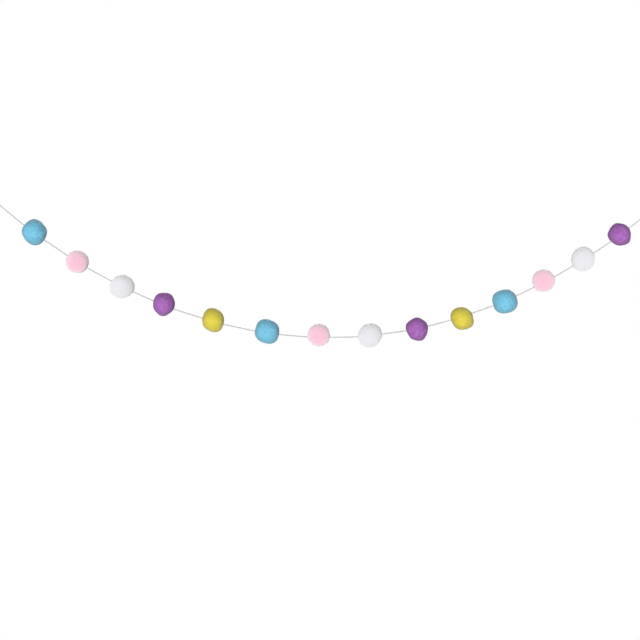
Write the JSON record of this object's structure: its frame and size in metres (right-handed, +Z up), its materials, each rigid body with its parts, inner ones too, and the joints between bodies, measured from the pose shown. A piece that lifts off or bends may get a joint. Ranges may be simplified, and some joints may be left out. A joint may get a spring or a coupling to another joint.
{
  "type": "felt ball garland",
  "caption": "Hanging garland of pastel wool felt balls threaded on a thin cotton string that sags in a shallow curve between knotted hanging loops.",
  "frame": {"origin": "inside of the left hanging loop's bight, where a hook bears", "axes": "+X from the left loop to the right loop, +Z up, +Y to the back, towards the wall; the garland hangs in the XZ plane"},
  "size_m": [0.7473, 0.0262, 0.1803],
  "materials": {
    "felt_blue": "sky blue rolled wool felt, matt, short fuzz",
    "felt_pink": "pale pink rolled wool felt, matt, short fuzz",
    "felt_white": "off-white rolled wool felt, matt, short fuzz",
    "felt_purple": "purple rolled wool felt, matt, short fuzz",
    "felt_yellow": "mustard yellow rolled wool felt, matt, short fuzz",
    "string": "pale grey-white twisted cotton string, matt"
  },
  "bodies": {
    "root": {"string": "string", "loop_left": "string", "knot_left": "string", "tail_left": "string", "loop_right": "string", "knot_right": "string", "tail_right": "string", "ball_01_blue": "felt_blue", "ball_02_pink": "felt_pink", "ball_03_white": "felt_white", "ball_04_purple": "felt_purple", "ball_05_yellow": "felt_yellow", "ball_06_blue": "felt_blue", "ball_07_pink": "felt_pink", "ball_08_white": "felt_white", "ball_09_purple": "felt_purple", "ball_10_yellow": "felt_yellow", "ball_11_blue": "felt_blue", "ball_12_pink": "felt_pink", "ball_13_white": "felt_white", "ball_14_purple": "felt_purple"}
  },
  "joints": []
}
